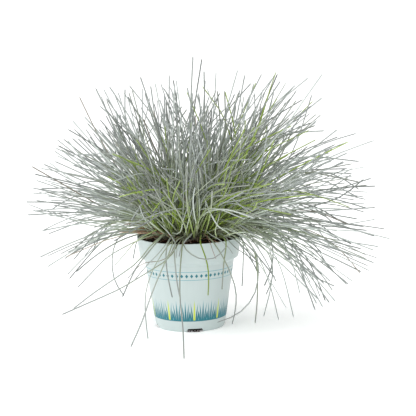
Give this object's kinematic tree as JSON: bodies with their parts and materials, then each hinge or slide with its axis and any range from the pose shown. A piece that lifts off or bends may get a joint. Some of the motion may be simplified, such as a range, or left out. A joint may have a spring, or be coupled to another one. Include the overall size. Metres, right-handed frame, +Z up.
{
  "type": "potted blue fescue clump",
  "caption": "Ornamental blue grass in a tapered nursery pot: a mound of fine needle leaves that arch over the rim, rooted in dark soil.",
  "frame": {"origin": "middle of the pot's base, on the surface it stands on", "axes": "+Z up along the pot's axis, -Y towards the side that shows the draped leaves, +X to that side's right"},
  "size_m": [0.4142, 0.3605, 0.312],
  "materials": {
    "pot_plastic": "moulded polypropylene, pale mint, with a printed leaf border",
    "soil": "moist peat and bark potting mix",
    "leaf": "waxy blue-green needle leaves, greener towards the crown"
  },
  "bodies": {
    "root": {"pot": "pot_plastic", "soil": "soil", "tuft_01": "leaf", "tuft_02": "leaf", "tuft_03": "leaf", "tuft_04": "leaf", "tuft_05": "leaf", "tuft_06": "leaf", "tuft_07": "leaf", "tuft_08": "leaf", "tuft_09": "leaf", "tuft_10": "leaf", "tuft_11": "leaf", "tuft_12": "leaf", "tuft_13": "leaf", "tuft_14": "leaf", "tuft_15": "leaf", "tuft_16": "leaf", "tuft_17": "leaf", "tuft_18": "leaf", "tuft_19": "leaf", "tuft_20": "leaf", "tuft_21": "leaf", "tuft_22": "leaf", "tuft_23": "leaf", "tuft_24": "leaf", "tuft_25": "leaf", "tuft_26": "leaf", "tuft_27": "leaf", "tuft_28": "leaf", "tuft_29": "leaf", "tuft_30": "leaf", "tuft_31": "leaf", "tuft_32": "leaf", "tuft_33": "leaf", "tuft_34": "leaf", "tuft_35": "leaf", "tuft_36": "leaf", "tuft_37": "leaf", "tuft_38": "leaf", "tuft_39": "leaf", "tuft_40": "leaf", "tuft_41": "leaf", "tuft_42": "leaf", "tuft_43": "leaf", "tuft_44": "leaf", "tuft_45": "leaf", "tuft_46": "leaf", "tuft_47": "leaf", "tuft_48": "leaf", "tuft_49": "leaf", "tuft_50": "leaf", "tuft_51": "leaf", "tuft_52": "leaf", "tuft_53": "leaf", "tuft_54": "leaf", "tuft_55": "leaf", "tuft_56": "leaf"}
  },
  "joints": []
}
